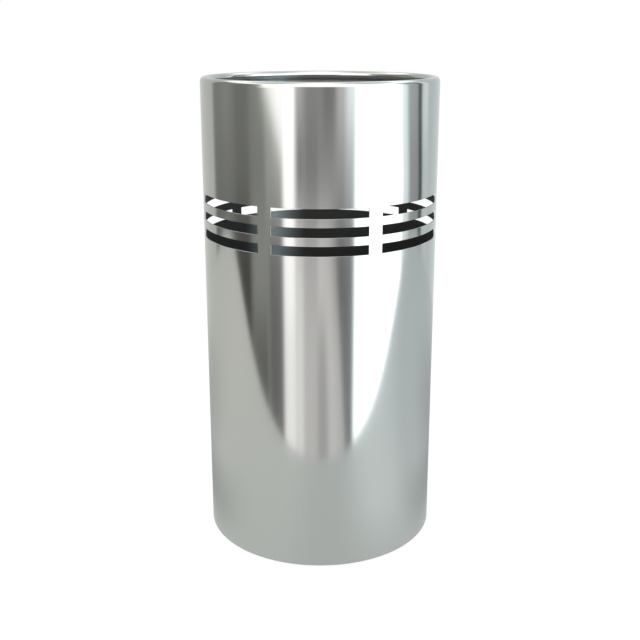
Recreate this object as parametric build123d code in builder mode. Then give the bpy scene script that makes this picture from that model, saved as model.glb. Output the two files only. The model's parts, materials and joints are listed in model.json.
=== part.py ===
from build123d import *
import os
from math import radians, tan

# A tall round umbrella stand: a slotted tube rolled from stainless sheet, a weighted base on
# rubber feet that hides inside its lower edge, and a loose drip tray.
# Millimetres, +Z up. The origin is on the floor under the tube's axis, and -Y is the front.

# ---------------------------------------------------------------- driving dimensions
HEIGHT = 500.0  # floor to the top of the rolled rim
DIAMETER = 250.0  # outside of the tube
SHEET = 1.0  # the tube's wall
EDGE_GAP = 1.2  # floor to the tube's lower edge

RIM_BEAD = 9.5  # outside diameter of the rolled rim
RIM_CURL = 285.0  # degrees that the sheet is rolled through at the rim

SLOT_ROWS = 3
SLOTS_PER_ROW = 7
SLOT_HEIGHT = 9.7
SLOT_PITCH = 18.4  # from one row to the next
SLOT_DROP = 118.4  # rim top to the top of the first row
POST_WIDTH = 14.7  # metal left between two slots of a row

PLATE = 1.5  # thickness of the pressed base pan
PAN_FIT = 0.1  # radial, pan in tube
PAN_BEND = 3.0  # inside radius of the bend into its skirt
PAN_LIFT = 1.5  # tube's lower edge to the edge of the skirt
SEAT_DEPTH = 2.0  # how far the ballast's seat is pressed down
SEAT_SLOPE = 35.0  # degrees that the seat's edge leans back from upright
SEAT_BEND = 1.0  # inside radius of its bends
SEAT_MARGIN = 1.5  # ballast's edge to the foot of that slope

FOOT_COUNT = 4
FOOT_HEIGHT = 10.0
FOOT_WIDTH = 25.0  # diameter where a foot meets the pan
FOOT_DRAFT = 7.0  # degrees
FOOT_EDGE = 1.0  # chamfer where a foot meets the floor
FOOT_GRIP = 4.4  # rubber squeezed between the screw's washer and the pan
FOOT_MARGIN = 1.0  # foot to the bends of the pan on either side

SCREW = 5.0  # foot screws
SCREW_HEAD = 9.4
SCREW_HEAD_HEIGHT = 3.0
SCREW_EDGE = 1.2  # chamfer of the head
SCREW_WASHER = 10.6
SCREW_WASHER_THICKNESS = 1.0
SCREW_NUT = 8.0  # across the flats
SCREW_NUT_HEIGHT = 4.0

BOLT = 6.0  # central bolt that holds the ballast
BOLT_HEAD = 10.0  # across the flats
BOLT_HEAD_HEIGHT = 4.0
BOLT_WASHER = 18.0
BOLT_WASHER_THICKNESS = 1.6
BOLT_NUT = 10.0  # across the flats
BOLT_NUT_HEIGHT = 5.0
THREAD_END = 0.9  # thread that shows past a nut
THREAD_EDGE = 0.6  # chamfer at a thread's end
THREAD_FIT = 0.03  # radial, thread in nut
HOLE_FIT = 0.3  # radial, screw or bolt in a plain hole
WASHER_FIT = 1.2  # radial, washer in its recess
HEAD_EDGE = 0.4  # chamfer of the bolt's head

BALLAST = 14.0  # thickness of the cast disc
BALLAST_WEB = 4.0  # iron left under the central nut
BALLAST_EDGE = 2.0  # chamfer of the casting

TRAY_HEIGHT = 40.0
TRAY_WALL = 2.0
TRAY_MARGIN = 3.5  # tray's lip to the rim's opening
TRAY_LIP = 5.0  # how far the lip stands out from the wall
TRAY_DRAFT = 9.0  # degrees
TRAY_CORNER = 4.0  # inside radius where wall meets floor
TRAY_SKIRT = 5.0  # depth of the ring that drops round the ballast
TRAY_SKIRT_FIT = 0.6  # radial, ring round ballast
RIB_RINGS = 4
RIB_WIDTH = 2.4
RIB_HEIGHT = 4.0
RIB_MARGIN = 9.0  # outermost rib to the tray's wall
DRAIN_WAYS = 8
DRAIN_WIDTH = 7.0

# ---------------------------------------------------------------- derived sizes
tube_radius = DIAMETER / 2
bore_radius = tube_radius - SHEET
rim_radius = RIM_BEAD / 2
rim_opening = tube_radius - RIM_BEAD

pan_radius = bore_radius - PAN_FIT
pan_edge = EDGE_GAP + PAN_LIFT
pan_bottom = FOOT_HEIGHT
pan_top = pan_bottom + PLATE
seat_bottom = pan_bottom - SEAT_DEPTH
seat_top = pan_top - SEAT_DEPTH

foot_circle = pan_radius - PLATE - PAN_BEND - FOOT_MARGIN - FOOT_WIDTH / 2
seat_head = foot_circle - FOOT_WIDTH / 2 - FOOT_MARGIN - SEAT_BEND
seat_foot = seat_head - SEAT_DEPTH * tan(radians(SEAT_SLOPE))
top_shift = PLATE * tan(radians(90 - SEAT_SLOPE) / 2)

ballast_radius = seat_foot - top_shift - SEAT_MARGIN
ballast_top = seat_top + BALLAST
web_top = seat_top + BALLAST_WEB

washer_bottom = FOOT_HEIGHT - FOOT_GRIP - SCREW_WASHER_THICKNESS
nut_bottom = pan_top + SCREW_WASHER_THICKNESS
screw_length = nut_bottom + SCREW_NUT_HEIGHT + THREAD_END - washer_bottom
bolt_nut_bottom = web_top + BOLT_WASHER_THICKNESS
bolt_length = bolt_nut_bottom + BOLT_NUT_HEIGHT + THREAD_END - seat_bottom

tray_floor = ballast_top + TRAY_WALL
tray_top = ballast_top + TRAY_HEIGHT
tray_radius = rim_opening - TRAY_MARGIN
wall_top_radius = tray_radius - TRAY_LIP
wall_foot_radius = wall_top_radius - TRAY_HEIGHT * tan(radians(TRAY_DRAFT))
skirt_radius = ballast_radius + TRAY_SKIRT_FIT


def foot_spots():
    """The corners of the base, where a foot and its fasteners sit."""
    return PolarLocations(foot_circle, FOOT_COUNT, start_angle=180 / FOOT_COUNT)


def save(piece, name):
    """Label a finished piece and write it as one STEP file."""
    piece.part.label = name
    export_step(piece.part, f"parts/{name}.step")


os.makedirs("parts", exist_ok=True)

# ---------------------------------------------------------------- body tube
# One rolled sheet with a plain lower edge, its rim curled inwards, and the rows of slots.
with BuildPart() as body_tube:
    with BuildSketch(Plane.XZ):
        with BuildLine():
            outside = Line((tube_radius, EDGE_GAP), (tube_radius, HEIGHT - rim_radius))
            outer_curl = JernArc(outside @ 1, outside % 1, rim_radius, RIM_CURL)
            inside = Line((bore_radius, EDGE_GAP), (bore_radius, HEIGHT - rim_radius))
            inner_curl = JernArc(inside @ 1, inside % 1, rim_radius - SHEET, RIM_CURL)
            Line(outer_curl @ 1, inner_curl @ 1)
            Line(outside @ 0, inside @ 0)
        make_face()
    revolve(axis=Axis.Z)

    first_row = HEIGHT - SLOT_DROP - SLOT_HEIGHT
    rows = [Plane.XY.offset(first_row - row * SLOT_PITCH) for row in range(SLOT_ROWS)]
    with BuildSketch(*rows):
        Circle(tube_radius + SHEET)
        Circle(bore_radius - SHEET, mode=Mode.SUBTRACT)
        with PolarLocations(tube_radius, SLOTS_PER_ROW, start_angle=90):
            Rectangle(6 * SHEET, POST_WIDTH, mode=Mode.SUBTRACT)
    extrude(amount=SLOT_HEIGHT, mode=Mode.SUBTRACT)
save(body_tube, "body_tube")

# ---------------------------------------------------------------- base pan
# A pressed disc, spot-welded into the tube by its down-turned skirt. The middle is pressed
# down a little as a seat for the ballast, and the feet are under the ring round it.
with BuildPart() as base_pan:
    with BuildSketch(Plane.XZ):
        with BuildLine():
            over = FilletPolyline(
                (0, seat_top),
                (seat_foot - top_shift, seat_top),
                (seat_head - top_shift, pan_top),
                (pan_radius, pan_top),
                (pan_radius, pan_edge),
                radius=[SEAT_BEND, SEAT_BEND + PLATE, PAN_BEND + PLATE],
            )
            under = FilletPolyline(
                (0, seat_bottom),
                (seat_foot, seat_bottom),
                (seat_head, pan_bottom),
                (pan_radius - PLATE, pan_bottom),
                (pan_radius - PLATE, pan_edge),
                radius=[SEAT_BEND + PLATE, SEAT_BEND, PAN_BEND],
            )
            Line(over @ 0, under @ 0)
            Line(over @ 1, under @ 1)
        make_face()
    revolve(axis=Axis.Z)
    with foot_spots():
        Hole(SCREW / 2 + HOLE_FIT)
    Hole(BOLT / 2 + HOLE_FIT)
save(base_pan, "base_pan")

# ---------------------------------------------------------------- ballast and its bolt
# A cast disc on the pan's seat. The nut sinks into it, so that the tray can stand on it flat.
with BuildPart() as ballast_disc:
    with BuildSketch(Plane.XY.offset(seat_top)):
        Circle(ballast_radius)
    extrude(amount=BALLAST)
    chamfer(ballast_disc.edges(), BALLAST_EDGE)
    with Locations((0, 0, ballast_top)):
        nut_recess = BOLT_WASHER / 2 + WASHER_FIT
        CounterBoreHole(BOLT / 2 + HOLE_FIT, nut_recess, BALLAST - BALLAST_WEB)
save(ballast_disc, "ballast_disc")

with BuildPart() as ballast_bolt:
    with BuildSketch(Plane.XY.offset(seat_bottom - BOLT_HEAD_HEIGHT)):
        RegularPolygon(BOLT_HEAD / 2, 6, major_radius=False)
    extrude(amount=BOLT_HEAD_HEIGHT)
    chamfer(ballast_bolt.edges().group_by(Axis.Z)[0], HEAD_EDGE)
    with BuildSketch(Plane.XY.offset(seat_bottom)):
        Circle(BOLT / 2)
    extrude(amount=bolt_length)
    chamfer(ballast_bolt.edges().group_by(Axis.Z)[-1], THREAD_EDGE)
save(ballast_bolt, "ballast_bolt")

with BuildPart() as ballast_washer:
    with BuildSketch(Plane.XY.offset(web_top)):
        Circle(BOLT_WASHER / 2)
        Circle(BOLT / 2 + HOLE_FIT, mode=Mode.SUBTRACT)
    extrude(amount=BOLT_WASHER_THICKNESS)
save(ballast_washer, "ballast_washer")

with BuildPart() as ballast_nut:
    with BuildSketch(Plane.XY.offset(bolt_nut_bottom)):
        RegularPolygon(BOLT_NUT / 2, 6, major_radius=False)
        Circle(BOLT / 2 + THREAD_FIT, mode=Mode.SUBTRACT)
    extrude(amount=BOLT_NUT_HEIGHT)
save(ballast_nut, "ballast_nut")

# ---------------------------------------------------------------- feet
# Tapered rubber bumpers. The screw's head and washer sit in a recess, clear of the floor.
foot_taper = FOOT_HEIGHT * tan(radians(FOOT_DRAFT))
for number, spot in enumerate(foot_spots().locations, start=1):
    with BuildPart() as foot:
        with BuildSketch(Plane(spot.position)):
            Circle(FOOT_WIDTH / 2 - foot_taper)
        extrude(amount=FOOT_HEIGHT, taper=-FOOT_DRAFT)
        chamfer(foot.faces().sort_by(Axis.Z)[0].edges(), FOOT_EDGE)
        with Locations(Plane(spot.position, z_dir=(0, 0, -1))):
            head_recess = SCREW_WASHER / 2 + HOLE_FIT
            CounterBoreHole(SCREW / 2 + HOLE_FIT, head_recess, FOOT_HEIGHT - FOOT_GRIP)
    save(foot, f"foot_{number}")

# Each foot's stack, from below: pan-head screw, washer, rubber, pan, washer, nut.
with BuildPart() as foot_screws:
    with BuildSketch(Plane.XY.offset(washer_bottom - SCREW_HEAD_HEIGHT)):
        with foot_spots():
            Circle(SCREW_HEAD / 2)
    extrude(amount=SCREW_HEAD_HEIGHT)
    chamfer(foot_screws.edges().group_by(Axis.Z)[0], SCREW_EDGE)
    with BuildSketch(Plane.XY.offset(washer_bottom)):
        with foot_spots():
            Circle(SCREW / 2)
    extrude(amount=screw_length)
    chamfer(foot_screws.edges().group_by(Axis.Z)[-1], THREAD_EDGE)
save(foot_screws, "foot_screws")

with BuildPart() as foot_washers:
    with BuildSketch(Plane.XY.offset(washer_bottom), Plane.XY.offset(pan_top)):
        with foot_spots():
            Circle(SCREW_WASHER / 2)
            Circle(SCREW / 2 + HOLE_FIT, mode=Mode.SUBTRACT)
    extrude(amount=SCREW_WASHER_THICKNESS)
save(foot_washers, "foot_washers")

with BuildPart() as foot_nuts:
    with BuildSketch(Plane.XY.offset(nut_bottom)):
        with foot_spots():
            RegularPolygon(SCREW_NUT / 2, 6, major_radius=False)
            Circle(SCREW / 2 + THREAD_FIT, mode=Mode.SUBTRACT)
    extrude(amount=SCREW_NUT_HEIGHT)
save(foot_nuts, "foot_nuts")

# ---------------------------------------------------------------- drip tray
# A moulded bowl that rests on the ballast and lifts out through the rim.
lip_edge = tray_radius - TRAY_WALL / 2
with BuildPart() as drip_tray:
    with BuildSketch(Plane.XZ):
        with BuildLine():
            outer_face = FilletPolyline(
                (0, ballast_top),
                (wall_foot_radius, ballast_top),
                (wall_top_radius, tray_top - TRAY_WALL),
                (lip_edge, tray_top - TRAY_WALL),
                radius=[TRAY_CORNER + TRAY_WALL, TRAY_WALL / 2],
            )
            inner_face = FilletPolyline(
                (0, tray_floor),
                (wall_foot_radius - TRAY_WALL, tray_floor),
                (wall_top_radius - TRAY_WALL, tray_top),
                (lip_edge, tray_top),
                radius=[TRAY_CORNER, TRAY_WALL * 1.5],
            )
            Line(outer_face @ 0, inner_face @ 0)
            CenterArc((lip_edge, tray_top - TRAY_WALL / 2), TRAY_WALL / 2, -90, 180)
        make_face()
    revolve(axis=Axis.Z)

    # The ring under the floor that centres the tray on the ballast.
    with BuildSketch(Plane.XY.offset(ballast_top - TRAY_SKIRT)):
        Circle(skirt_radius + TRAY_WALL)
        Circle(skirt_radius, mode=Mode.SUBTRACT)
    extrude(amount=TRAY_SKIRT + TRAY_WALL / 2)

    # Ribs that keep the umbrella tips out of the water, broken by straight drain ways.
    outer_rib = wall_foot_radius - TRAY_WALL - RIB_MARGIN
    with BuildSketch(Plane.XY.offset(tray_floor)):
        for ring in range(RIB_RINGS, 0, -1):
            rib_radius = outer_rib * ring / RIB_RINGS
            Circle(rib_radius)
            Circle(rib_radius - RIB_WIDTH, mode=Mode.SUBTRACT)
        with PolarLocations(outer_rib / 2, DRAIN_WAYS):
            Rectangle(outer_rib + RIB_MARGIN, DRAIN_WIDTH, mode=Mode.SUBTRACT)
    extrude(amount=RIB_HEIGHT)
save(drip_tray, "drip_tray")
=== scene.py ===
# %% [markdown]
# # A slotted steel umbrella stand
#
# The stand is a tall tube rolled from polished stainless sheet. Its rim is curled inwards, and
# three rows of slots run round it below the rim. A weighted base on rubber feet hides inside its
# lower edge, and a moulded tray inside catches the drips.
#
# The first cell loads the engineering model. It fixes every size, and this lesson only gives the
# pieces their looks: a mesh that reflects cleanly where the engineering mesh is too coarse, and
# a finish for everything.

# %% Load the frame
import json
from math import asin, atan2, cos, degrees, pi, radians, sin, tau

import bmesh
import bpy
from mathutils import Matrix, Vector

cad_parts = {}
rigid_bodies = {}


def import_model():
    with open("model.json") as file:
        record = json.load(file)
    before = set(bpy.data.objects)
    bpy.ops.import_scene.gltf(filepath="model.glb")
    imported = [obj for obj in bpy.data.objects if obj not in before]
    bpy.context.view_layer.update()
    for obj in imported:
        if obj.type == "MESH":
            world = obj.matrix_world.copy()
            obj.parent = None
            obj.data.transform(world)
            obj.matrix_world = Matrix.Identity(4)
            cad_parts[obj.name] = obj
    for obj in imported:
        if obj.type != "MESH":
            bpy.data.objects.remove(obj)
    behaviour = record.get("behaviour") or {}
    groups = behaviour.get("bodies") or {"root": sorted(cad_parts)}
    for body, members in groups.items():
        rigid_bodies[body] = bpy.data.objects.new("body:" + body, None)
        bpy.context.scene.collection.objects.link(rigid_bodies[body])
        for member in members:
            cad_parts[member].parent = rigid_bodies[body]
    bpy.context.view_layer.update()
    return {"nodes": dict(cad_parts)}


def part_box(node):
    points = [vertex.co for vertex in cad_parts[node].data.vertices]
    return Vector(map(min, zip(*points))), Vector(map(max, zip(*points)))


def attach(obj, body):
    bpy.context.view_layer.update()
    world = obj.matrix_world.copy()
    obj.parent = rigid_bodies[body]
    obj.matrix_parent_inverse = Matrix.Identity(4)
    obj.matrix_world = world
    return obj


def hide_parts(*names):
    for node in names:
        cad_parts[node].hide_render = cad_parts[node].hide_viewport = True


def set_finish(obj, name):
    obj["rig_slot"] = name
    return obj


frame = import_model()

# %% [markdown]
# ## Sizes
#
# The tube's radius and height are read from the frame. The rest are the sheet-metal worker's own
# numbers: the thickness of the sheet, the bead at the rim, the slots and the posts between them.

# %% Measure the tube
tube_low, tube_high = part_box("body_tube")
RADIUS = tube_high.x
TOP = tube_high.z
FOOT_EDGE = tube_low.z

SHEET = 0.001
BEAD_RADIUS = 0.00475
BEAD_CURL = radians(285)

ROWS = 3
SLOTS = 7
SLOT_HEIGHT = 0.0097
SLOT_PITCH = 0.0184
SLOT_DROP = 0.1184
POST_WIDTH = 0.0147

post_turn = 2 * asin(POST_WIDTH / 2 / RADIUS)
slot_turn = tau / SLOTS - post_turn
slot_rows = [TOP - SLOT_DROP - row * SLOT_PITCH for row in range(ROWS)]
print(f"tube {2 * RADIUS:.3f} m across, {TOP:.3f} m tall, slots topped at",
      [round(height, 4) for height in slot_rows])

# %% [markdown]
# ## Camera
#
# The camera stands a metre away, five centimetres above the rim, and looks slightly down, so that
# the rim shows as a thin ellipse and the far wall shows through the slots. A small shift keeps the
# stand in the middle of the picture.

# %% Camera
LENS = 52.65
SHIFT = -0.07  # of the picture's width
CAMERA_AWAY = 8.0 * RADIUS
CAMERA_HIGH = 4.374 * RADIUS
CAMERA_TILT = 14.71  # degrees below level
camera_data = bpy.data.cameras.new("camera")
camera_data.lens = LENS
camera_data.sensor_width = 36.0
camera_data.shift_y = SHIFT
camera = bpy.data.objects.new("camera", camera_data)
camera.location = (0, -CAMERA_AWAY, CAMERA_HIGH)
camera.rotation_euler = (radians(90 - CAMERA_TILT), 0, 0)
bpy.context.scene.collection.objects.link(camera)
bpy.context.scene.camera = camera
bpy.context.scene.view_settings.view_transform = "Standard"
print("camera at", [round(place, 3) for place in camera.location])

# %% [markdown]
# ## Writing shaders as sums
#
# A material is a graph of nodes, but most of it is arithmetic. The class below wraps one output
# socket, and its operators add Math nodes, so a mask is written as `1 - edge * 0.5`. Every other
# node comes from the `node` method of a graph: its type, the settings that are made first, and
# then the values or links of its inputs.


# %% Socket arithmetic
class Value:
    """One output socket of a node, which takes part in arithmetic."""

    def __init__(self, graph, socket):
        self.graph = graph
        self.socket = socket

    def out(self, name):
        """Another output of the same node."""
        return Value(self.graph, self.socket.node.outputs[name])

    def math(self, operation, *others):
        return self.graph.node("ShaderNodeMath", {"operation": operation}, self, *others)

    def __add__(self, other):
        return self.math("ADD", other)

    def __sub__(self, other):
        return self.math("SUBTRACT", other)

    def __mul__(self, other):
        return self.math("MULTIPLY", other)

    def __rsub__(self, other):
        return self.graph.node("ShaderNodeMath", {"operation": "SUBTRACT"}, other, self)

    def __neg__(self):
        return self.math("MULTIPLY", -1)

    __radd__ = __add__
    __rmul__ = __mul__


class Graph:
    """The node tree of a material or a world."""

    def __init__(self, owner):
        owner.use_nodes = True
        self.tree = owner.node_tree
        self.tree.nodes.clear()

    def node(self, kind, settings=None, *inputs, output=0, **named):
        """Adds a node: its settings first, then its inputs by place and by name."""
        made = self.tree.nodes.new(kind)
        for name, value in (settings or {}).items():
            setattr(made, name, value)
        for place, value in enumerate(inputs):
            self.feed(made.inputs[place], value)
        for name, value in named.items():
            self.feed(made.inputs[name.replace("_", " ")], value)
        return Value(self, made.outputs[output]) if made.outputs else None

    def feed(self, socket, value):
        """Links a socket to a value, or sets it to a number or a colour."""
        if isinstance(value, Value):
            self.tree.links.new(value.socket, socket)
        elif value is not None:
            socket.default_value = value

    def step(self, value, low, high, start=0.0, end=1.0):
        """Goes smoothly from start to end as the value goes from low to high."""
        settings = {"interpolation_type": "SMOOTHSTEP"}
        return self.node("ShaderNodeMapRange", settings, value, low, high, start, end)

    def between(self, value, left, right, soft):
        """1 between two edges that have some softness, and 0 outside them."""
        rising = self.step(value, left - soft, left + soft)
        return rising * self.step(value, right + soft, right - soft)

    def compass(self, place):
        """The direction of a place round the Z axis in degrees: 0 in front, more to the right."""
        axes = self.node("ShaderNodeSeparateXYZ", None, place)
        return axes.math("ARCTAN2", -axes.out("Y")) * degrees(1)

    def blend(self, share, first, second):
        """Mixes two colours."""
        made = self.node("ShaderNodeMix", {"data_type": "RGBA"}, share, output=2)
        self.feed(made.socket.node.inputs[6], first)
        self.feed(made.socket.node.inputs[7], second)
        return made

    def scaled(self, colour, level):
        """A colour times a value."""
        made = self.node("ShaderNodeVectorMath", {"operation": "SCALE"}, colour)
        self.feed(made.socket.node.inputs["Scale"], level)
        return made


print("shader helpers ready")

# %% [markdown]
# ## The studio
#
# Polished metal has no look of its own: it shows the room. So the room is made with the same care
# as the piece. Metal sees a ring of panels that is painted on the world by compass direction,
# white walls, a strip light and grey flags, while all else gets plain even light.
#
# A compass reading of 0 points to the front, and positive readings go round to the right. Each
# panel is written as its left edge, its right edge, the softness of both, how many degrees it
# leans over for each degree of height, and its brightness at four heights. Heights are degrees
# above level. Just below its rim the tube shows -4, and about half-way down -20. Under that a
# panel stays as bright as it is, down to where the metal shows the floor. A later panel covers an
# earlier one.

# %% Panels of the studio
HEIGHTS = (-4, -8, -14.5, -20)
PANELS = [
    (-121, -53, 3, 0, (0.36, 0.32, 0.14, 0.25)),  # grey wall on the left
    (-106, -93, 5, 0, (0.42, 0.34, 0.16, 0.25)),  # a paler stretch of it
    (-87, -70, 3, 0, (0.30, 0.27, 0.09, 0.12)),  # and a darker one
    (-69, -51, 4, 0, (0.42, 0.36, 0.46, 0.20)),  # another pale one
    (-51, -35, 3, 0, (0.50, 0.58, 0.28, 0.24)),  # the wall beside the light
    (-35, -23, 2, 0, (2.70, 2.30, 2.00, 1.60)),  # strip light
    (-23, -15, 3, 0, (0.75, 0.24, 1.30, 1.36)),  # bench beside it
    (-15, 17, 3, 0, (0.44, 0.33, 0.84, 0.93)),  # dull wall behind the viewer
    (-2, 8, 3, 0, (0.46, 0.44, 1.18, 0.65)),  # a recess in it
    (3, 11, 3, 0.6, (0.30, 0.46, 1.04, 1.02)),  # the edge of the recess
    (10, 17, 3, 0.9, (0.32, 0.50, 0.74, 0.96)),  # and the side of it that is lit
    (15, 26, 3, 0.9, (0.90, 0.58, 0.22, 0.33)),  # the wall goes on
    (24, 33, 3, 0.9, (1.70, 0.85, 0.26, 0.33)),  # and catches the window's light
    (33, 82, 2, 0, (3.00, 3.00, 3.00, 3.00)),  # window wall on the right
    (60, 82, 2, 0.9, (3.00, 3.00, 3.00, 3.00)),  # its leaning edge
    (82, 90, 3, 0.9, (1.70, 1.55, 1.25, 1.25)),  # its curtain
    (90, 106, 2, 0.9, (0.68, 0.55, 0.50, 0.50)),  # grey return
    (105, 111, 1.5, 0.9, (0.08, 0.06, 0.06, 0.06)),  # black flag
    (112, 123, 2, 0.9, (1.25, 0.98, 0.95, 0.90)),  # thin reflector
]
print(len(PANELS), "panels")

# %% Paint the panels on the world
LEFT_WALL, RIGHT_WALL = 0.77, 0.86
SIDE = 50  # the compass reading where the side begins
FRONT_LEAN = -14  # the height under which a panel in front leans
SIDE_LEAN = -4  # the same for a panel at the side, which
SIDE_LEAN_REACH = 5  # stands upright again this many degrees lower
world = bpy.data.worlds.new("studio")
bpy.context.scene.world = world
sky = Graph(world)
gaze = sky.node("ShaderNodeTexCoord")
heading = sky.node("ShaderNodeSeparateXYZ", None, gaze)
compass = sky.compass(gaze)
height = heading.out("Z").math("ARCSINE") * degrees(1)

front_drop = (height - FRONT_LEAN).math("MINIMUM", 0)
side_drop = (height - SIDE_LEAN).math("MINIMUM", 0).math("MAXIMUM", -SIDE_LEAN_REACH)
stages = [sky.step(height, above, under) for above, under in zip(HEIGHTS, HEIGHTS[1:])]
room = sky.step(compass, -70, 70, LEFT_WALL, RIGHT_WALL)
for left, right, soft, lean, levels in PANELS:
    level = levels[0]
    for stage, above, under in zip(stages, levels, levels[1:]):
        level = stage * (under - above) + level
    drop = front_drop if left < SIDE else side_drop
    slanted = drop * lean + compass if lean else compass
    room = room + sky.between(slanted, left, right, soft) * (level - room)
print("panels painted with", len(sky.tree.nodes), "nodes")

# %% [markdown]
# Above the panels there is more to see for the curled rim, which shows the whole room. Light falls
# slantwise down the wall on the left. The ceiling is bright, but it begins higher up at the sides
# and at the back, and dull beams cross it at the sides, so that the rim keeps a grey outline
# against a white background. The left of the room is a little warm and the right a little cool.

# %% Ceiling, tints and even light
FALLING_LIGHT = 2.2
CEILING = 2.3
BEAMS = 1.1
EVEN_LIGHT = 0.85
WARM = (0.985, 1.0, 0.945, 1)
COOL = (0.92, 1.0, 1.03, 1)
NEUTRAL = (1.02, 1.0, 1.0, 1)
FALL_SLOPE = 4  # degrees to the side for each degree of height
slanted = height.math("MINIMUM", -2) * FALL_SLOPE + compass
fall = sky.step(slanted, -71, -59) * sky.step(compass, -33, -37)
room = room + fall * (FALLING_LIGHT - room)

turned = compass.math("ABSOLUTE")
sides = sky.between(turned, 58, 165, 8)
back = sky.step(turned, 162, 174)
low_edge = sides * 34 + back * 52 - 1
high_edge = sides * 24 + back * 48 + 20
room = room + sky.step(height, low_edge, high_edge) * (CEILING - room)
beams = sides * sky.between(height, 52, 80, 4)
room = room + beams * (BEAMS - room)
tint = sky.blend(sky.step(heading, -0.8, 0.8), WARM, COOL)
tint = sky.blend(sky.between(compass, -44, 24, 6), tint, NEUTRAL)

ray = sky.node("ShaderNodeLightPath")
plain = ray.out("Is Camera Ray") + ray.out("Is Transmission Ray")
seen = sky.blend(ray.out("Is Glossy Ray"), (EVEN_LIGHT,) * 3 + (1,), sky.scaled(tint, room))
seen = sky.blend(plain, seen, (1, 1, 1, 1))
background = sky.node("ShaderNodeBackground", None, seen, 1.0)
sky.node("ShaderNodeOutputWorld", None, background)
print("world painted with", len(sky.tree.nodes), "nodes")

# %% [markdown]
# ## Floor and lamp
#
# The floor is a pale disc, wider than it is deep. Where it ends in front, the metal begins to show
# the room, which draws the long curved edge on the lower half of the tube. It is brighter where
# the window lights it, dimmer behind the stand, and in the corners where stand and floor meet. The
# disc renders white, keeps a faint shadow, and can be seen through from below, so that the
# underside can be looked at.

# %% Floor
FLOOR_HALF_WIDTH = 14 * RADIUS
FLOOR_HALF_DEPTH = 4.83 * RADIUS
FLOOR_CENTRE = 1.8 * RADIUS
bpy.ops.object.select_all(action="DESELECT")
bpy.ops.mesh.primitive_circle_add(vertices=256, radius=1, fill_type="NGON")
floor = bpy.context.object
floor.name = "floor"
floor.scale = (FLOOR_HALF_WIDTH, FLOOR_HALF_DEPTH, 1)
floor.location = (0, FLOOR_CENTRE, 0)
bpy.ops.object.transform_apply(location=True, scale=True)
print("floor", [round(side, 2) for side in floor.dimensions], "m")

# %% Light on the floor, by direction and by distance from the stand
OPEN_FLOOR = 0.95
FRONT_SHADE = 0.08  # where the viewer stands in the light
WINDOW_LIGHT = 0.19
BACK_SHADE = 0.15
NEAR_BACK_SHADE = 0.33
LEFT_CORNER, RIGHT_CORNER = 0.42, 0.36
paper = bpy.data.materials.new("floor_paper")
sweep = Graph(paper)
ray = sweep.node("ShaderNodeLightPath")
camera_ray = ray.out("Is Camera Ray")
glossy_ray = ray.out("Is Glossy Ray")
spot = sweep.node("ShaderNodeTexCoord", output="Object")
across = sweep.node("ShaderNodeSeparateXYZ", None, spot)
compass = sweep.compass(spot)
turned = compass.math("ABSOLUTE")
distance = sweep.node("ShaderNodeVectorMath", {"operation": "LENGTH"}, spot, output="Value")
lit = OPEN_FLOOR - sweep.between(compass, -14, 22, 16) * FRONT_SHADE
lit = lit + sweep.between(compass, 30, 70, 16) * sweep.step(distance, 0.1, 0.26) * WINDOW_LIGHT
behind = sweep.step(turned, 85, 150)
lit = lit * (1 - behind * (sweep.step(distance, 1.0, 0.3) * NEAR_BACK_SHADE + BACK_SHADE))
beside = sweep.step(turned, 45, 110)
corner_shade = sweep.step(across, -0.1, 0.1, LEFT_CORNER, RIGHT_CORNER)
lit = lit * (1 - beside * sweep.step(distance, 0.32, 0.14) * corner_shade)
tint = sweep.blend(sweep.step(across, -0.7, 0.7), WARM, COOL)
tint = sweep.blend(glossy_ray, (1, 1, 1, 1), sweep.scaled(tint, lit))
print("light on the floor worked out with", len(sweep.tree.nodes), "nodes")

# %% Paper of the floor
own_light = camera_ray * 0.85 + glossy_ray * 0.6  # so that the camera sees white
paint = 0.8 - camera_ray * 0.6 - glossy_ray * 0.44  # and only a faint shadow
glow = sweep.node("ShaderNodeEmission", None, sweep.scaled(tint, own_light), 1.0)
matt = sweep.node("ShaderNodeBsdfDiffuse", None, sweep.scaled(tint, paint))
from_above = sweep.node("ShaderNodeAddShader", None, glow, matt)
from_below = sweep.node("ShaderNodeNewGeometry").out("Backfacing")
clear = sweep.node("ShaderNodeBsdfTransparent")
either = sweep.node("ShaderNodeMixShader", None, from_below, from_above, clear)
sweep.node("ShaderNodeOutputMaterial", None, either)
floor.data.materials.append(paper)
print("paper on", floor.name)

# %% Lamp
LAMP_SIZE = 1.2
LAMP_POWER = 12
LAMP_PLACE = Vector((-0.9, -1.1, 1.7))
LAMP_AIM = Vector((0, 0, 0.2))
lamp_data = bpy.data.lights.new("soft_box", "AREA")
lamp_data.size = LAMP_SIZE
lamp_data.energy = LAMP_POWER
lamp = bpy.data.objects.new("soft_box", lamp_data)
lamp.location = LAMP_PLACE
lamp.rotation_euler = (LAMP_AIM - LAMP_PLACE).to_track_quat("-Z", "Y").to_euler()
lamp.visible_glossy = False
bpy.context.scene.collection.objects.link(lamp)
print("lamp", lamp_data.energy, "W")

# %% [markdown]
# ## Body tube
#
# The tube is one sheet, so it is made the way the sheet-metal shop thinks of it: as an upright
# line that is swept round. The line is drawn first, up the back of the tube where the weld is,
# with a corner at each level where something happens. A spin rolls the bead at its top. The line
# is then spun about the tube's axis in turns that match the posts and the slots exactly, so that
# a slot's ends fall on real edges of the mesh and the slots can be cut by deleting faces.


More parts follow.
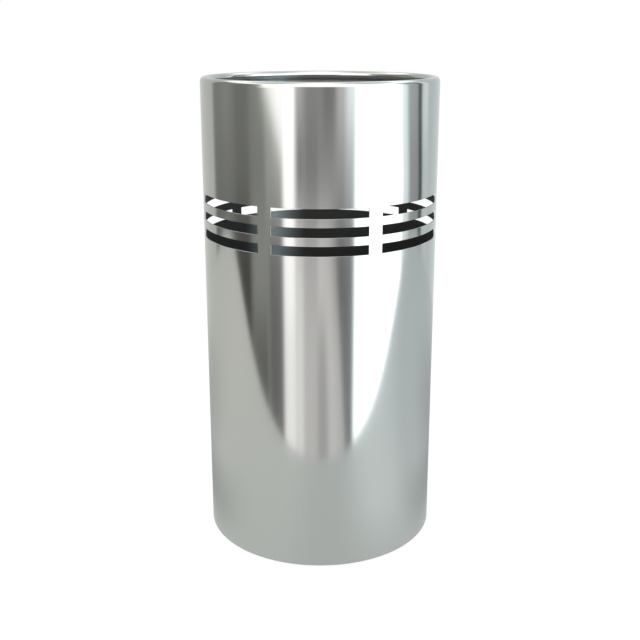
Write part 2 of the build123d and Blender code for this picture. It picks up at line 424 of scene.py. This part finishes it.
# %% Small helpers for edit mode
def add(name, primitive, **settings):
    """Adds a primitive with nothing else selected, puts its place in its mesh, and edits it."""
    bpy.ops.object.select_all(action="DESELECT")
    primitive(**settings)
    bpy.ops.object.transform_apply(location=True, rotation=True, scale=True)
    bpy.context.object.name = name
    bpy.context.object.data.name = name
    bpy.ops.object.mode_set(mode="EDIT")
    bpy.ops.mesh.select_mode(type="VERT")
    bpy.ops.mesh.select_all(action="SELECT")
    return bpy.context.object


def pick(kind, test):
    """Selects the vertices, edges or faces for which the test holds, and nothing else."""
    bpy.ops.mesh.select_mode(type={"verts": "VERT", "edges": "EDGE", "faces": "FACE"}[kind])
    bpy.ops.mesh.select_all(action="DESELECT")
    mesh = bmesh.from_edit_mesh(bpy.context.object.data)
    chosen = [part for part in getattr(mesh, kind) if test(part)]
    for part in chosen:
        part.select_set(True)
    bmesh.update_edit_mesh(bpy.context.object.data)
    return len(chosen)


def middle(part):
    """The middle of an edge or a face."""
    return sum((corner.co for corner in part.verts), Vector()) / len(part.verts)


def apply(piece, kind, **settings):
    """Adds a modifier and applies it."""
    modifier = piece.modifiers.new(kind.lower(), kind)
    for name, value in settings.items():
        setattr(modifier, name, value)
    bpy.ops.object.modifier_apply(modifier=modifier.name)


print("edit helpers ready")

# %% Draw the line up the back of the tube
start = (0, RADIUS, FOOT_EDGE)
tube = add("tube_sheet", bpy.ops.mesh.primitive_plane_add, size=SHEET, location=start)
bpy.ops.mesh.merge(type="CENTER")

bead_start = TOP - BEAD_RADIUS
levels = [level for top in slot_rows for level in (top, top - SLOT_HEIGHT)]
levels = sorted(levels) + [bead_start - SHEET, bead_start]
below = FOOT_EDGE
for level in levels:
    bpy.ops.mesh.extrude_region_move(TRANSFORM_OT_translate={"value": (0, 0, level - below)})
    below = level
print("line drawn through", len(levels) + 1, "levels")

# %% Roll the bead, inwards from the top of the line
BEAD_STEPS = 32
bead_centre = (0, RADIUS - BEAD_RADIUS, bead_start)
bpy.ops.mesh.spin(steps=BEAD_STEPS, angle=BEAD_CURL, center=bead_centre, axis=(-1, 0, 0))
print("bead rolled:", len(bmesh.from_edit_mesh(tube.data).verts), "points on the line")

# %% Spin the line round the axis, a post and a slot at a time
SEAM_TURN = 0.0003 / RADIUS  # half the width of the weld
SLOT_STEPS = 54
POST_STEPS = 8
turns = [(SEAM_TURN, 1), (post_turn / 2 - SEAM_TURN, 4)]
for gap in range(SLOTS):
    turns += [(slot_turn, SLOT_STEPS), (post_turn, POST_STEPS)]
turns[-1:] = [(post_turn / 2 - SEAM_TURN, 4), (SEAM_TURN, 1)]
bpy.ops.mesh.select_all(action="SELECT")
for angle, steps in turns:
    bpy.ops.mesh.spin(steps=steps, angle=angle, center=(0, 0, 0), axis=(0, 0, 1))
bpy.ops.mesh.select_all(action="SELECT")
bpy.ops.mesh.remove_doubles(threshold=0.00001)
print("swept to", len(bmesh.from_edit_mesh(tube.data).faces), "faces")

# %% Cut the slots and draw in the weld
def round_from_back(point):
    """The angle round the axis from the middle of the back, from 0 to a full turn."""
    return atan2(point.x, point.y) % tau


def in_slot(face):
    """Whether a face of the wall lies in one of the slots."""
    place = middle(face)
    from_post = (round_from_back(place) - post_turn / 2) % (tau / SLOTS)
    return from_post < slot_turn and any(top - SLOT_HEIGHT < place.z < top for top in slot_rows)


opened = pick("faces", in_slot)
bpy.ops.mesh.delete(type="FACE")
bpy.ops.mesh.select_all(action="SELECT")
bpy.ops.mesh.normals_make_consistent(inside=False)
lowest = min(bmesh.from_edit_mesh(tube.data).faces, key=lambda face: middle(face).z)
if lowest.normal.dot(middle(lowest)) < 0:
    bpy.ops.mesh.flip_normals()

WELD_DEPTH = 0.00003
on_wall = RADIUS - SHEET / 2


def on_weld(point):
    """Whether a vertex lies on the line up the back of the wall."""
    x, y, z = point.co
    return abs(x) < 1e-6 and y > on_wall and z < bead_start


pick("verts", on_weld)
bpy.ops.transform.translate(value=(0, -WELD_DEPTH, 0))
bpy.ops.object.mode_set(mode="OBJECT")
print(opened, "faces cut for", ROWS * SLOTS, "slots")

# %% [markdown]
# Solidify gives the sheet its thickness, inwards from the outside face. A very small chamfer then
# breaks every cut edge, as deburring does, and catches a thread of light. It has one flat face and
# stays sharp in the shading, so that the long faces beside it keep exact normals and mirror
# straight lines.

# %% Thickness, deburred edges and shading
CHAMFER = 0.00012
SMOOTH_ANGLE = radians(30)
apply(tube, "SOLIDIFY", thickness=SHEET, offset=-1, use_even_offset=True)
apply(tube, "BEVEL", width=CHAMFER, segments=1, limit_method="ANGLE", angle_limit=radians(50))
bpy.ops.object.shade_smooth_by_angle(angle=SMOOTH_ANGLE)
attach(tube, "stand")
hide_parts("body_tube")
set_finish(tube, "stainless_sheet")
print("tube:", len(tube.data.polygons), "faces, box", [round(side, 4) for side in tube.dimensions])

# %% [markdown]
# ## Turned pieces
#
# Everything under the tube is round: feet, washers, screws and the ballast. In a workshop they
# would come off a lathe, so the lesson makes a lathe too. It takes the outline of one side as
# pairs of a radius and a height, draws it from a single vertex, and spins it once round. An
# outline that starts and ends on the axis closes by itself, and one that returns to its first
# point makes a ring. Corners that are rounded on the real piece are drawn as short arcs.


# %% The lathe
def arc(centre, radius, start, end, steps):
    """Points on an arc between two angles in degrees, for an outline."""
    turns = [radians(start + (end - start) * step / steps) for step in range(steps + 1)]
    return [(centre[0] + radius * cos(turn), centre[1] + radius * sin(turn)) for turn in turns]


def lathe(name, outline, steps):
    """Spins an outline of (radius, height) points round the Z axis."""
    start = (outline[0][0], 0, outline[0][1])
    piece = add(name, bpy.ops.mesh.primitive_plane_add, size=0.001, location=start)
    bpy.ops.mesh.merge(type="CENTER")
    for (radius, height), (next_radius, next_height) in zip(outline, outline[1:]):
        move = (next_radius - radius, 0, next_height - height)
        bpy.ops.mesh.extrude_region_move(TRANSFORM_OT_translate={"value": move})
    bpy.ops.mesh.select_all(action="SELECT")
    bpy.ops.mesh.spin(steps=steps, angle=tau, center=(0, 0, 0), axis=(0, 0, 1))
    bpy.ops.mesh.select_all(action="SELECT")
    bpy.ops.mesh.remove_doubles(threshold=0.000001)
    bpy.ops.mesh.normals_make_consistent(inside=False)
    bpy.ops.object.mode_set(mode="OBJECT")
    bpy.ops.object.shade_smooth_by_angle(angle=SMOOTH_ANGLE)
    return piece


def cut(piece, tool, operation="DIFFERENCE"):
    """Cuts a piece with a tool, joins them or keeps what they share, and puts the tool away."""
    bpy.context.view_layer.objects.active = piece
    apply(piece, "BOOLEAN", operation=operation, object=tool, solver="EXACT")
    bpy.data.objects.remove(tool)
    bpy.ops.object.select_all(action="DESELECT")
    piece.select_set(True)
    bpy.ops.object.shade_smooth_by_angle(angle=SMOOTH_ANGLE)


def seat(piece, node, material_slot):
    """Puts a piece on the stand, hides the node that it stands for, and names its finish."""
    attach(piece, "stand")
    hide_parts(node)
    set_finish(piece, material_slot)


def at_corners(piece, names):
    """Moves a piece made on the axis out to the first foot, and copies it to the other feet."""
    made = []
    for corner, name in enumerate(names):
        twin = piece.copy()
        twin.data = piece.data.copy()
        twin.name = twin.data.name = name
        bpy.context.scene.collection.objects.link(twin)
        turn = radians(45 + 90 * corner)
        twin.location = (foot_circle * cos(turn), foot_circle * sin(turn), 0)
        twin.rotation_euler = (0, 0, turn)
        bpy.ops.object.select_all(action="DESELECT")
        twin.select_set(True)
        bpy.context.view_layer.objects.active = twin
        bpy.ops.object.transform_apply(location=True, rotation=True, scale=True)
        made.append(twin)
    bpy.data.objects.remove(piece)
    return made


foot_low, foot_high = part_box("foot_1")
foot_circle = (foot_low.x + foot_high.x) / 2 * 2**0.5
corners = range(1, 5)
print(f"lathe ready, feet {foot_circle:.4f} m from the axis")

# %% [markdown]
# ## Rubber feet
#
# A foot is a moulded bumper, wider where it meets the pan. Moulding leaves round edges, and the
# sole has two fine grooves that keep it from creeping. The recess in its middle hides the screw.
# A spin gives all of that at once, and the three other feet are copies.

# %% Feet
FOOT_TOP = foot_high.z
SOLE = 0.01127  # radius of the foot at the floor
FOOT_WIDE = (foot_high.x - foot_low.x) / 2
GRIP = 0.0044  # rubber squeezed between washer and pan
SCREW_HOLE = 0.0028
RECESS = 0.0056
GROOVES = (0.0080, 0.0098)  # radii of the grooves in the sole
GROOVE_DEPTH = 0.0004
recess_top = FOOT_TOP - GRIP
outline = [(SCREW_HOLE, FOOT_TOP), (SCREW_HOLE, recess_top), (RECESS, recess_top)]
outline += [(RECESS, 0.0005), (RECESS + 0.0005, 0)]
for groove in GROOVES:
    outline += [(groove - 0.0005, 0), (groove - 0.0002, GROOVE_DEPTH)]
    outline += [(groove + 0.0002, GROOVE_DEPTH), (groove + 0.0005, 0)]
outline += arc((SOLE - 0.0008, 0.001), 0.001, -90, -7, 6)
outline += arc((FOOT_WIDE - 0.0005, FOOT_TOP - 0.0004), 0.0004, -7, 90, 4)
outline += [(SCREW_HOLE, FOOT_TOP)]
foot = lathe("foot", outline, 72)
feet = at_corners(foot, [f"foot_bumper_{corner}" for corner in corners])
for corner, foot in zip(corners, feet):
    seat(foot, f"foot_{corner}", "rubber")
print("feet:", len(feet), "of", len(feet[0].data.polygons), "faces")

# %% [markdown]
# ## Fasteners
#
# Each foot hangs on a pan-head screw with a washer, and the nut sits on a second washer above the
# pan. The thread is drawn as stacked grooves at the real pitch: at this size a true helix would
# look the same, and rings close by themselves. The cross in the head is cut with a tapered blade,
# once each way. A nut starts as a six-sided prism. Real nuts are turned after they are hexagonal,
# which leaves curved corners, so the prism is cut down to what it shares with a turned blank.


# %% Threads, washers and nuts
def thread(radius, pitch, low, high):
    """The zigzag outline of a thread between two heights, with a chamfered end."""
    groove = pitch * 0.55
    points = [(radius, low)]
    rings = int((high - low - pitch) / pitch)
    for ring in range(rings):
        height = low + pitch * (ring + 0.35)
        points += [(radius, height), (radius - groove, height + pitch / 2), (radius, height + pitch)]
    return points + [(radius, high - 0.0006), (radius - 0.0006, high), (0, high)]


def washer(name, hole, radius, low, thick):
    """A stamped washer: its upper edge is rounded and its lower one only just broken."""
    top = low + thick
    edge = thick * 0.3
    nick = edge * 0.3
    outline = [(hole, low), (hole, top), (radius - edge, top), (radius - nick, top - nick)]
    outline += [(radius, top - edge), (radius, low + nick), (radius - nick, low), (hole, low)]
    return lathe(name, outline, 48)


BLANK = 0.475  # where a turned chamfer begins, as a share of the width across the flats
PROUD = 0.00001  # by how much the turned blank stands out past the corners


def corner_radius(across):
    """From the axis to a corner of a hexagon of a given width across the flats."""
    return across / 2 / cos(pi / 6)


def hexagon(name, across, low, high):
    """A six-sided prism of a given width across the flats."""
    size = {"vertices": 6, "radius": corner_radius(across), "depth": high - low}
    turned = (0, 0, pi / 6)
    centre = (0, 0, (low + high) / 2)
    prism = add(name, bpy.ops.mesh.primitive_cylinder_add, rotation=turned, location=centre, **size)
    bpy.ops.object.mode_set(mode="OBJECT")
    return prism


def nut(name, across, hole, low, high):
    """A hexagon nut with turned corners and a countersunk hole."""
    prism = hexagon(name, across, low, high)
    corner = corner_radius(across)
    face = across * BLANK
    fall = (corner - face) * 0.5
    sink = 0.0004
    blank = [(hole, low + sink), (hole, high - sink), (hole + sink, high), (face, high)]
    blank += [(corner + PROUD, high - fall), (corner + PROUD, low + fall), (face, low)]
    blank += [(hole + sink, low), (hole, low + sink)]
    cut(prism, lathe("blank", blank, 72), "INTERSECT")
    return prism


print("a nut's chamfer begins at", BLANK, "of its width across the flats")

# %% Foot screws
HEAD_LOW, SCREW_END = (corner.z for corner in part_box("foot_screws"))
HEAD_HEIGHT = 0.003
HEAD = 0.0047
HEAD_ROUND = 0.0014
M5 = 0.0025  # half of the size that gives the thread its name
M5_PITCH = 0.0008
head_top = HEAD_LOW + HEAD_HEIGHT
outline = [(0, HEAD_LOW), (0.0034, HEAD_LOW)]
outline += arc((HEAD - HEAD_ROUND, HEAD_LOW + HEAD_ROUND), HEAD_ROUND, -75, 0, 6)
outline += [(HEAD, head_top - 0.0001), (HEAD - 0.0001, head_top)]
screw = lathe("screw", outline + thread(M5, M5_PITCH, head_top, SCREW_END), 48)
for turn, shape in ((0, (2.0, 0.42, 1.0)), (pi / 2, (0.42, 2.0, 1.0))):
    place = {"location": (0, 0, HEAD_LOW + 0.0005), "rotation": (0, 0, turn)}
    blade = add("blade", bpy.ops.mesh.primitive_cube_add, size=0.003, **place)
    bpy.ops.transform.resize(value=shape)
    pick("faces", lambda face: face.normal.z > 0.9)
    bpy.ops.transform.resize(value=(0.35, 0.35, 1))  # the blade gets narrower towards its tip
    bpy.ops.object.mode_set(mode="OBJECT")
    cut(screw, blade)
screws = at_corners(screw, [f"foot_screw_{corner}" for corner in corners])
for screw in screws:
    seat(screw, "foot_screws", "zinc_fastener")
print("screws:", len(screws), "of", len(screws[0].data.polygons), "faces")

# %% Foot washers and nuts
NUT_LOW, NUT_HIGH = (corner.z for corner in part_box("foot_nuts"))
SMALL_NUT = 0.008  # across the flats
WASHER = 0.0053
WASHER_THICK = 0.001
SLACK = 0.00003  # between a nut and its thread
for place, low in (("low", head_top), ("top", NUT_LOW - WASHER_THICK)):
    ring = washer("washer", SCREW_HOLE, WASHER, low, WASHER_THICK)
    for ring in at_corners(ring, [f"foot_washer_{place}_{corner}" for corner in corners]):
        seat(ring, "foot_washers", "zinc_fastener")
small_nut = nut("nut", SMALL_NUT, M5 + SLACK, NUT_LOW, NUT_HIGH)
for small_nut in at_corners(small_nut, [f"foot_nut_{corner}" for corner in corners]):
    seat(small_nut, "foot_nuts", "zinc_fastener")
print("nuts from", round(NUT_LOW, 4), "to", round(NUT_HIGH, 4), "m")

# %% [markdown]
# ## Ballast and its bolt
#
# The weight is a flat iron casting. It has the round edges that a sand mould gives, and a deep
# pocket that lets the nut sink in, so that the tray can stand on it. The bolt comes from below.
# Its head is the same cut prism as a nut's, and a Boolean joins it to its threaded shank.

# %% Ballast
ballast_low, ballast_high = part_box("ballast_disc")
CAST_ROUND = 0.002
BOLT_HOLE = 0.0033
POCKET = 0.0102
POCKET_EDGE = 0.0008
WEB_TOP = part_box("ballast_washer")[0].z
rim = ballast_high.x - CAST_ROUND
outline = [(BOLT_HOLE, ballast_low.z), (rim, ballast_low.z)]
outline += arc((rim, ballast_low.z + CAST_ROUND), CAST_ROUND, -80, 0, 6)
outline += arc((rim, ballast_high.z - CAST_ROUND), CAST_ROUND, 0, 90, 7)
outline += [(POCKET + POCKET_EDGE, ballast_high.z), (POCKET, ballast_high.z - POCKET_EDGE)]
outline += [(POCKET, WEB_TOP), (BOLT_HOLE, WEB_TOP), (BOLT_HOLE, ballast_low.z)]
ballast = lathe("ballast_casting", outline, 144)
seat(ballast, "ballast_disc", "cast_iron")
print("ballast:", len(ballast.data.polygons), "faces")

# %% Bolt, washer and nut
M6 = 0.003
M6_PITCH = 0.001
HEX = 0.010
HEX_HEIGHT = 0.004
bolt_low, bolt_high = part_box("ballast_bolt")
head_high = bolt_low.z + HEX_HEIGHT
bolt = hexagon("ballast_hex_bolt", HEX, bolt_low.z, head_high)
blank_radius = corner_radius(HEX) + PROUD
blank = [(0, bolt_low.z), (HEX * BLANK, bolt_low.z), (blank_radius, bolt_low.z + 0.0005)]
blank += [(blank_radius, head_high), (0, head_high)]
cut(bolt, lathe("blank", blank, 72), "INTERSECT")
shank = [(0, head_high - 0.001), (M6, head_high - 0.001)]
shank += thread(M6, M6_PITCH, head_high, bolt_high.z)
cut(bolt, lathe("shank", shank, 48), "UNION")
seat(bolt, "ballast_bolt", "zinc_fastener")

nut_low, nut_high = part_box("ballast_nut")
big_nut = nut("ballast_hex_nut", HEX, M6 + SLACK, nut_low.z, nut_high.z)
seat(big_nut, "ballast_nut", "zinc_fastener")
big_washer = washer("ballast_flat_washer", BOLT_HOLE, 0.009, WEB_TOP, nut_low.z - WEB_TOP)
seat(big_washer, "ballast_washer", "zinc_fastener")
print("bolt:", len(bolt.data.polygons), "faces, nut:", len(big_nut.data.polygons))

# %% [markdown]
# ## Finishes
#
# Every finish is drawn by nodes that read the place on the piece in metres, so a grain has its
# real size and needs no unwrapping. The tube comes first, because it is nearly all one sees. The
# sheet was polished before it was rolled, which leaves a very fine grain up and down, and hands
# leave faint cloudy patches that are only seen in the gloss. The inside was never polished: it is
# dull. Its colour is also darkened as painted shade, more so further down from the rim, and one
# stretch of it at the back is a painted sheen, paler and cooler.


# %% Polished stainless sheet
def pattern(graph, place, scale, detail=3.0):
    """Noise on a place, in features a metre: one number, or one for each direction."""
    scale = scale if isinstance(scale, tuple) else (scale,) * 3
    stretched = graph.node("ShaderNodeMapping", None, place, Scale=scale)
    return graph.node("ShaderNodeTexNoise", None, stretched, Scale=1.0, Detail=detail)


def from_axis(graph, place):
    """The distance of a place from the Z axis."""
    flat = graph.node("ShaderNodeVectorMath", {"operation": "MULTIPLY"}, place, (1, 1, 0))
    return graph.node("ShaderNodeVectorMath", {"operation": "LENGTH"}, flat, output="Value")


def height_of(graph, place):
    """The height of a place on the piece."""
    return graph.node("ShaderNodeSeparateXYZ", None, place).out("Z")


def material(name):
    """A new material, its graph and the place on the piece."""
    made = bpy.data.materials.new(name)
    graph = Graph(made)
    return made, graph, graph.node("ShaderNodeTexCoord", output="Object")


def finish(graph, height, strength, distance, **inputs):
    """A principled shader on the output, with a relief of a given strength and depth."""
    relief = {"Height": height, "Strength": strength, "Distance": distance}
    inputs["Normal"] = graph.node("ShaderNodeBump", None, **relief)
    shader = graph.node("ShaderNodeBsdfPrincipled", None, **inputs)
    graph.node("ShaderNodeOutputMaterial", None, shader)


POLISH = 0.095  # least roughness of the polished face
DULLNESS = 0.55  # what the inside has more
steel, graph, place = material("polished_stainless")
level = height_of(graph, place)
grain = pattern(graph, place, (900, 900, 7))
handling = pattern(graph, place, 11, 4.0)
inside = graph.step(from_axis(graph, place), RADIUS - 0.7 * SHEET, RADIUS - 0.9 * SHEET)
inside = inside * graph.step(level, bead_start, bead_start - 0.002)
roughness = grain * 0.03 + handling * 0.03 + POLISH + inside * DULLNESS
colour = graph.blend(grain, (0.469, 0.475, 0.46, 1), (0.489, 0.495, 0.48, 1))
# painted shade: the inside is coloured darker than steel, and darker again further down from the rim
painted_shade_depth = graph.step(level, bead_start - 0.01, bead_start - 0.09)
inside_painted_light = graph.blend(painted_shade_depth, (0.38, 0.385, 0.38, 1), (0.11, 0.112, 0.108, 1))
# painted sheen: a paler, cooler stretch of the inside at the back, left of the middle
painted_sheen = graph.between(graph.compass(place), -161, -145, 12)
inside_painted_light = graph.blend(painted_sheen, inside_painted_light, (0.74, 0.84, 0.86, 1))
colour = graph.blend(inside, colour, inside_painted_light)
relief = grain * (1 - inside)
finish(graph, relief, 0.02, 0.0001, Base_Color=colour, Metallic=1.0, Roughness=roughness)
tube.data.materials.append(steel)
print("stainless on", tube.name)

# %% [markdown]
# The pan is bare pressed steel: dull, with the lines of the rolling mill all one way and a thin
# uneven film of oil. Twelve spot welds hold its skirt in the tube. Each is a small flat print with
# a straw and blue ring round it, drawn by the distance to the nearest weld round the skirt.

# %% Pressed steel of the pan
WELDS = 12
WELD_LEVEL = 0.0062
PRINT = (0.0026, 0.0018)  # how far from its middle a weld's mark begins, and where it is full
HEAT = (0.0062, 0.0030)  # the same for the straw ring
BLUE = (0.0046, 0.0034)  # and for the blue one
SKIRT = 0.1215  # inside this radius there are no welds
plate, graph, place = material("pressed_steel")
split = graph.node("ShaderNodeSeparateXYZ", None, place)
mill = pattern(graph, place, (30, 1400, 1400))
film = pattern(graph, place, 26, 5.0)
share = split.out("Y").math("ARCTAN2", split) * (WELDS / tau)
across = (share - share.math("ROUND")) * (tau / WELDS * RADIUS)
above = split.out("Z") - WELD_LEVEL
away = (across * across + above * above).math("SQRT")
skirt = graph.step(from_axis(graph, place), SKIRT, SKIRT + 0.0005)
print_mark = graph.step(away, *PRINT) * skirt
heat = graph.step(away, *HEAT) * skirt - print_mark
blue = graph.step(away, *BLUE) * skirt
colour = graph.blend(film, (0.36, 0.36, 0.355, 1), (0.45, 0.45, 0.44, 1))
tempered = graph.blend(blue, (0.40, 0.29, 0.14, 1), (0.12, 0.16, 0.27, 1))
colour = graph.blend(heat * 0.75, colour, tempered)
roughness = mill * 0.12 + film * 0.14 + 0.26 + print_mark * 0.15
relief = mill * 0.15 - print_mark
finish(graph, relief, 0.5, 0.0001, Base_Color=colour, Metallic=1.0, Roughness=roughness)
frame["nodes"]["base_pan"].material_slots[0].material = plate
print(WELDS, "spot welds on the pan")

# %% [markdown]
# Zinc plating is a bright grey with a cloudy passivated bloom, a little yellow here and a little
# blue there. The clouds have the size of a fingertip on a sheet, but on small fasteners only a
# part of one shows, so that neighbours differ slightly.

# %% Zinc plating
zinc, graph, place = material("zinc_plating")
cloud = pattern(graph, place, 160)
speck = pattern(graph, place, 2600, 2.0)
colour = graph.blend(graph.step(cloud, 0.38, 0.62), (0.60, 0.59, 0.50, 1), (0.50, 0.54, 0.60, 1))
roughness = speck * 0.16 + cloud * 0.14 + 0.2
finish(graph, speck, 0.15, 0.00005, Base_Color=colour, Metallic=1.0, Roughness=roughness)
plated = [piece for piece in bpy.data.objects if piece.get("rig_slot") == "zinc_fastener"]
for piece in plated:
    piece.data.materials.clear()
    piece.data.materials.append(zinc)
print("zinc on", len(plated), "fasteners")

# %% [markdown]
# The casting is painted black. Paint fills the sand texture only half, so the skin stays bumpy at
# two sizes, and where air got under the paint there are a few brown specks of rust.

# %% Painted cast iron
iron, graph, place = material("painted_cast_iron")
sand = pattern(graph, place, 900, 4.0)
lumps = pattern(graph, place, 140, 2.0)
rust = graph.step(pattern(graph, place, 230, 6.0), 0.66, 0.71)
colour = graph.blend(lumps, (0.022, 0.022, 0.024, 1), (0.038, 0.038, 0.040, 1))
colour = graph.blend(rust, colour, (0.13, 0.052, 0.022, 1))
roughness = sand * 0.25 + 0.36 + rust * 0.25
relief = sand * 0.5 + lumps + rust * 0.4
finish(graph, relief, 0.7, 0.0004, Base_Color=colour, Roughness=roughness)
ballast.data.materials.append(iron)
print("iron on", ballast.name)

# %% [markdown]
# Rubber is matt and almost black, with a grey bloom that comes out of it in patches. Where it
# meets the floor it picks up dust.

# %% Rubber of the feet
rubber, graph, place = material("moulded_rubber")
bloom = pattern(graph, place, 110, 5.0)
pores = pattern(graph, place, 3000, 2.0)
dust = graph.step(height_of(graph, place), 0.0018, 0.0) * 0.55
patches = graph.step(bloom, 0.35, 0.75)
colour = graph.blend(patches, (0.014, 0.014, 0.015, 1), (0.034, 0.034, 0.033, 1))
colour = graph.blend(dust * bloom, colour, (0.12, 0.11, 0.095, 1))
roughness = pores * 0.12 + bloom * 0.1 + 0.6 + dust * 0.2
looks = {"Base_Color": colour, "Roughness": roughness, "Specular_IOR_Level": 0.35}
finish(graph, pores, 0.3, 0.00008, **looks)
for foot in feet:
    foot.data.materials.append(rubber)
print("rubber on", len(feet), "feet")

# %% [markdown]
# The tray is moulded in black polypropylene. The mould was spark-eroded, which gives a fine even
# grain. The plastic flowed in at the middle, so very faint rings run round it, and water has left
# a pale dried edge here and there on the floor of the bowl. The tops of the ribs are rubbed
# smoother by umbrella tips.

# %% Moulded plastic of the tray
tray_low, tray_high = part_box("drip_tray")
TRAY_FLOOR = ballast_high.z + 0.002  # the plastic is 2 mm thick
RIB_TOP = TRAY_FLOOR + 0.004
plastic, graph, place = material("moulded_polypropylene")
level = height_of(graph, place)
reach = from_axis(graph, place)
eroded = pattern(graph, place, 2400, 2.0)
scuffs = pattern(graph, place, 60, 6.0)
flow = (reach * 1100 + scuffs * 3).math("SINE") * 0.5 + 0.5
rubbed = graph.step(level, RIB_TOP - 0.0006, RIB_TOP - 0.0001)
rubbed = rubbed * graph.step(level, RIB_TOP + 0.0005, RIB_TOP + 0.0002)
in_bowl = graph.step(level, TRAY_FLOOR - 0.0003, TRAY_FLOOR)
in_bowl = in_bowl * graph.step(level, TRAY_FLOOR + 0.003, TRAY_FLOOR + 0.001)
puddles = pattern(graph, place, 24)
tide = graph.step(puddles, 0.50, 0.53) * graph.step(puddles, 0.57, 0.53) * in_bowl
colour = graph.blend(scuffs, (0.019, 0.019, 0.021, 1), (0.028, 0.028, 0.030, 1))
colour = graph.blend(tide * 0.35, colour, (0.20, 0.20, 0.19, 1))
roughness = eroded * 0.10 + scuffs * 0.12 + flow * 0.02 + 0.36 - rubbed * 0.12 + tide * 0.15
finish(graph, eroded, 0.25, 0.00008, Base_Color=colour, Roughness=roughness)
frame["nodes"]["drip_tray"].material_slots[0].material = plastic
print("plastic on the tray from", round(tray_low.z, 4), "to", round(tray_high.z, 4), "m")
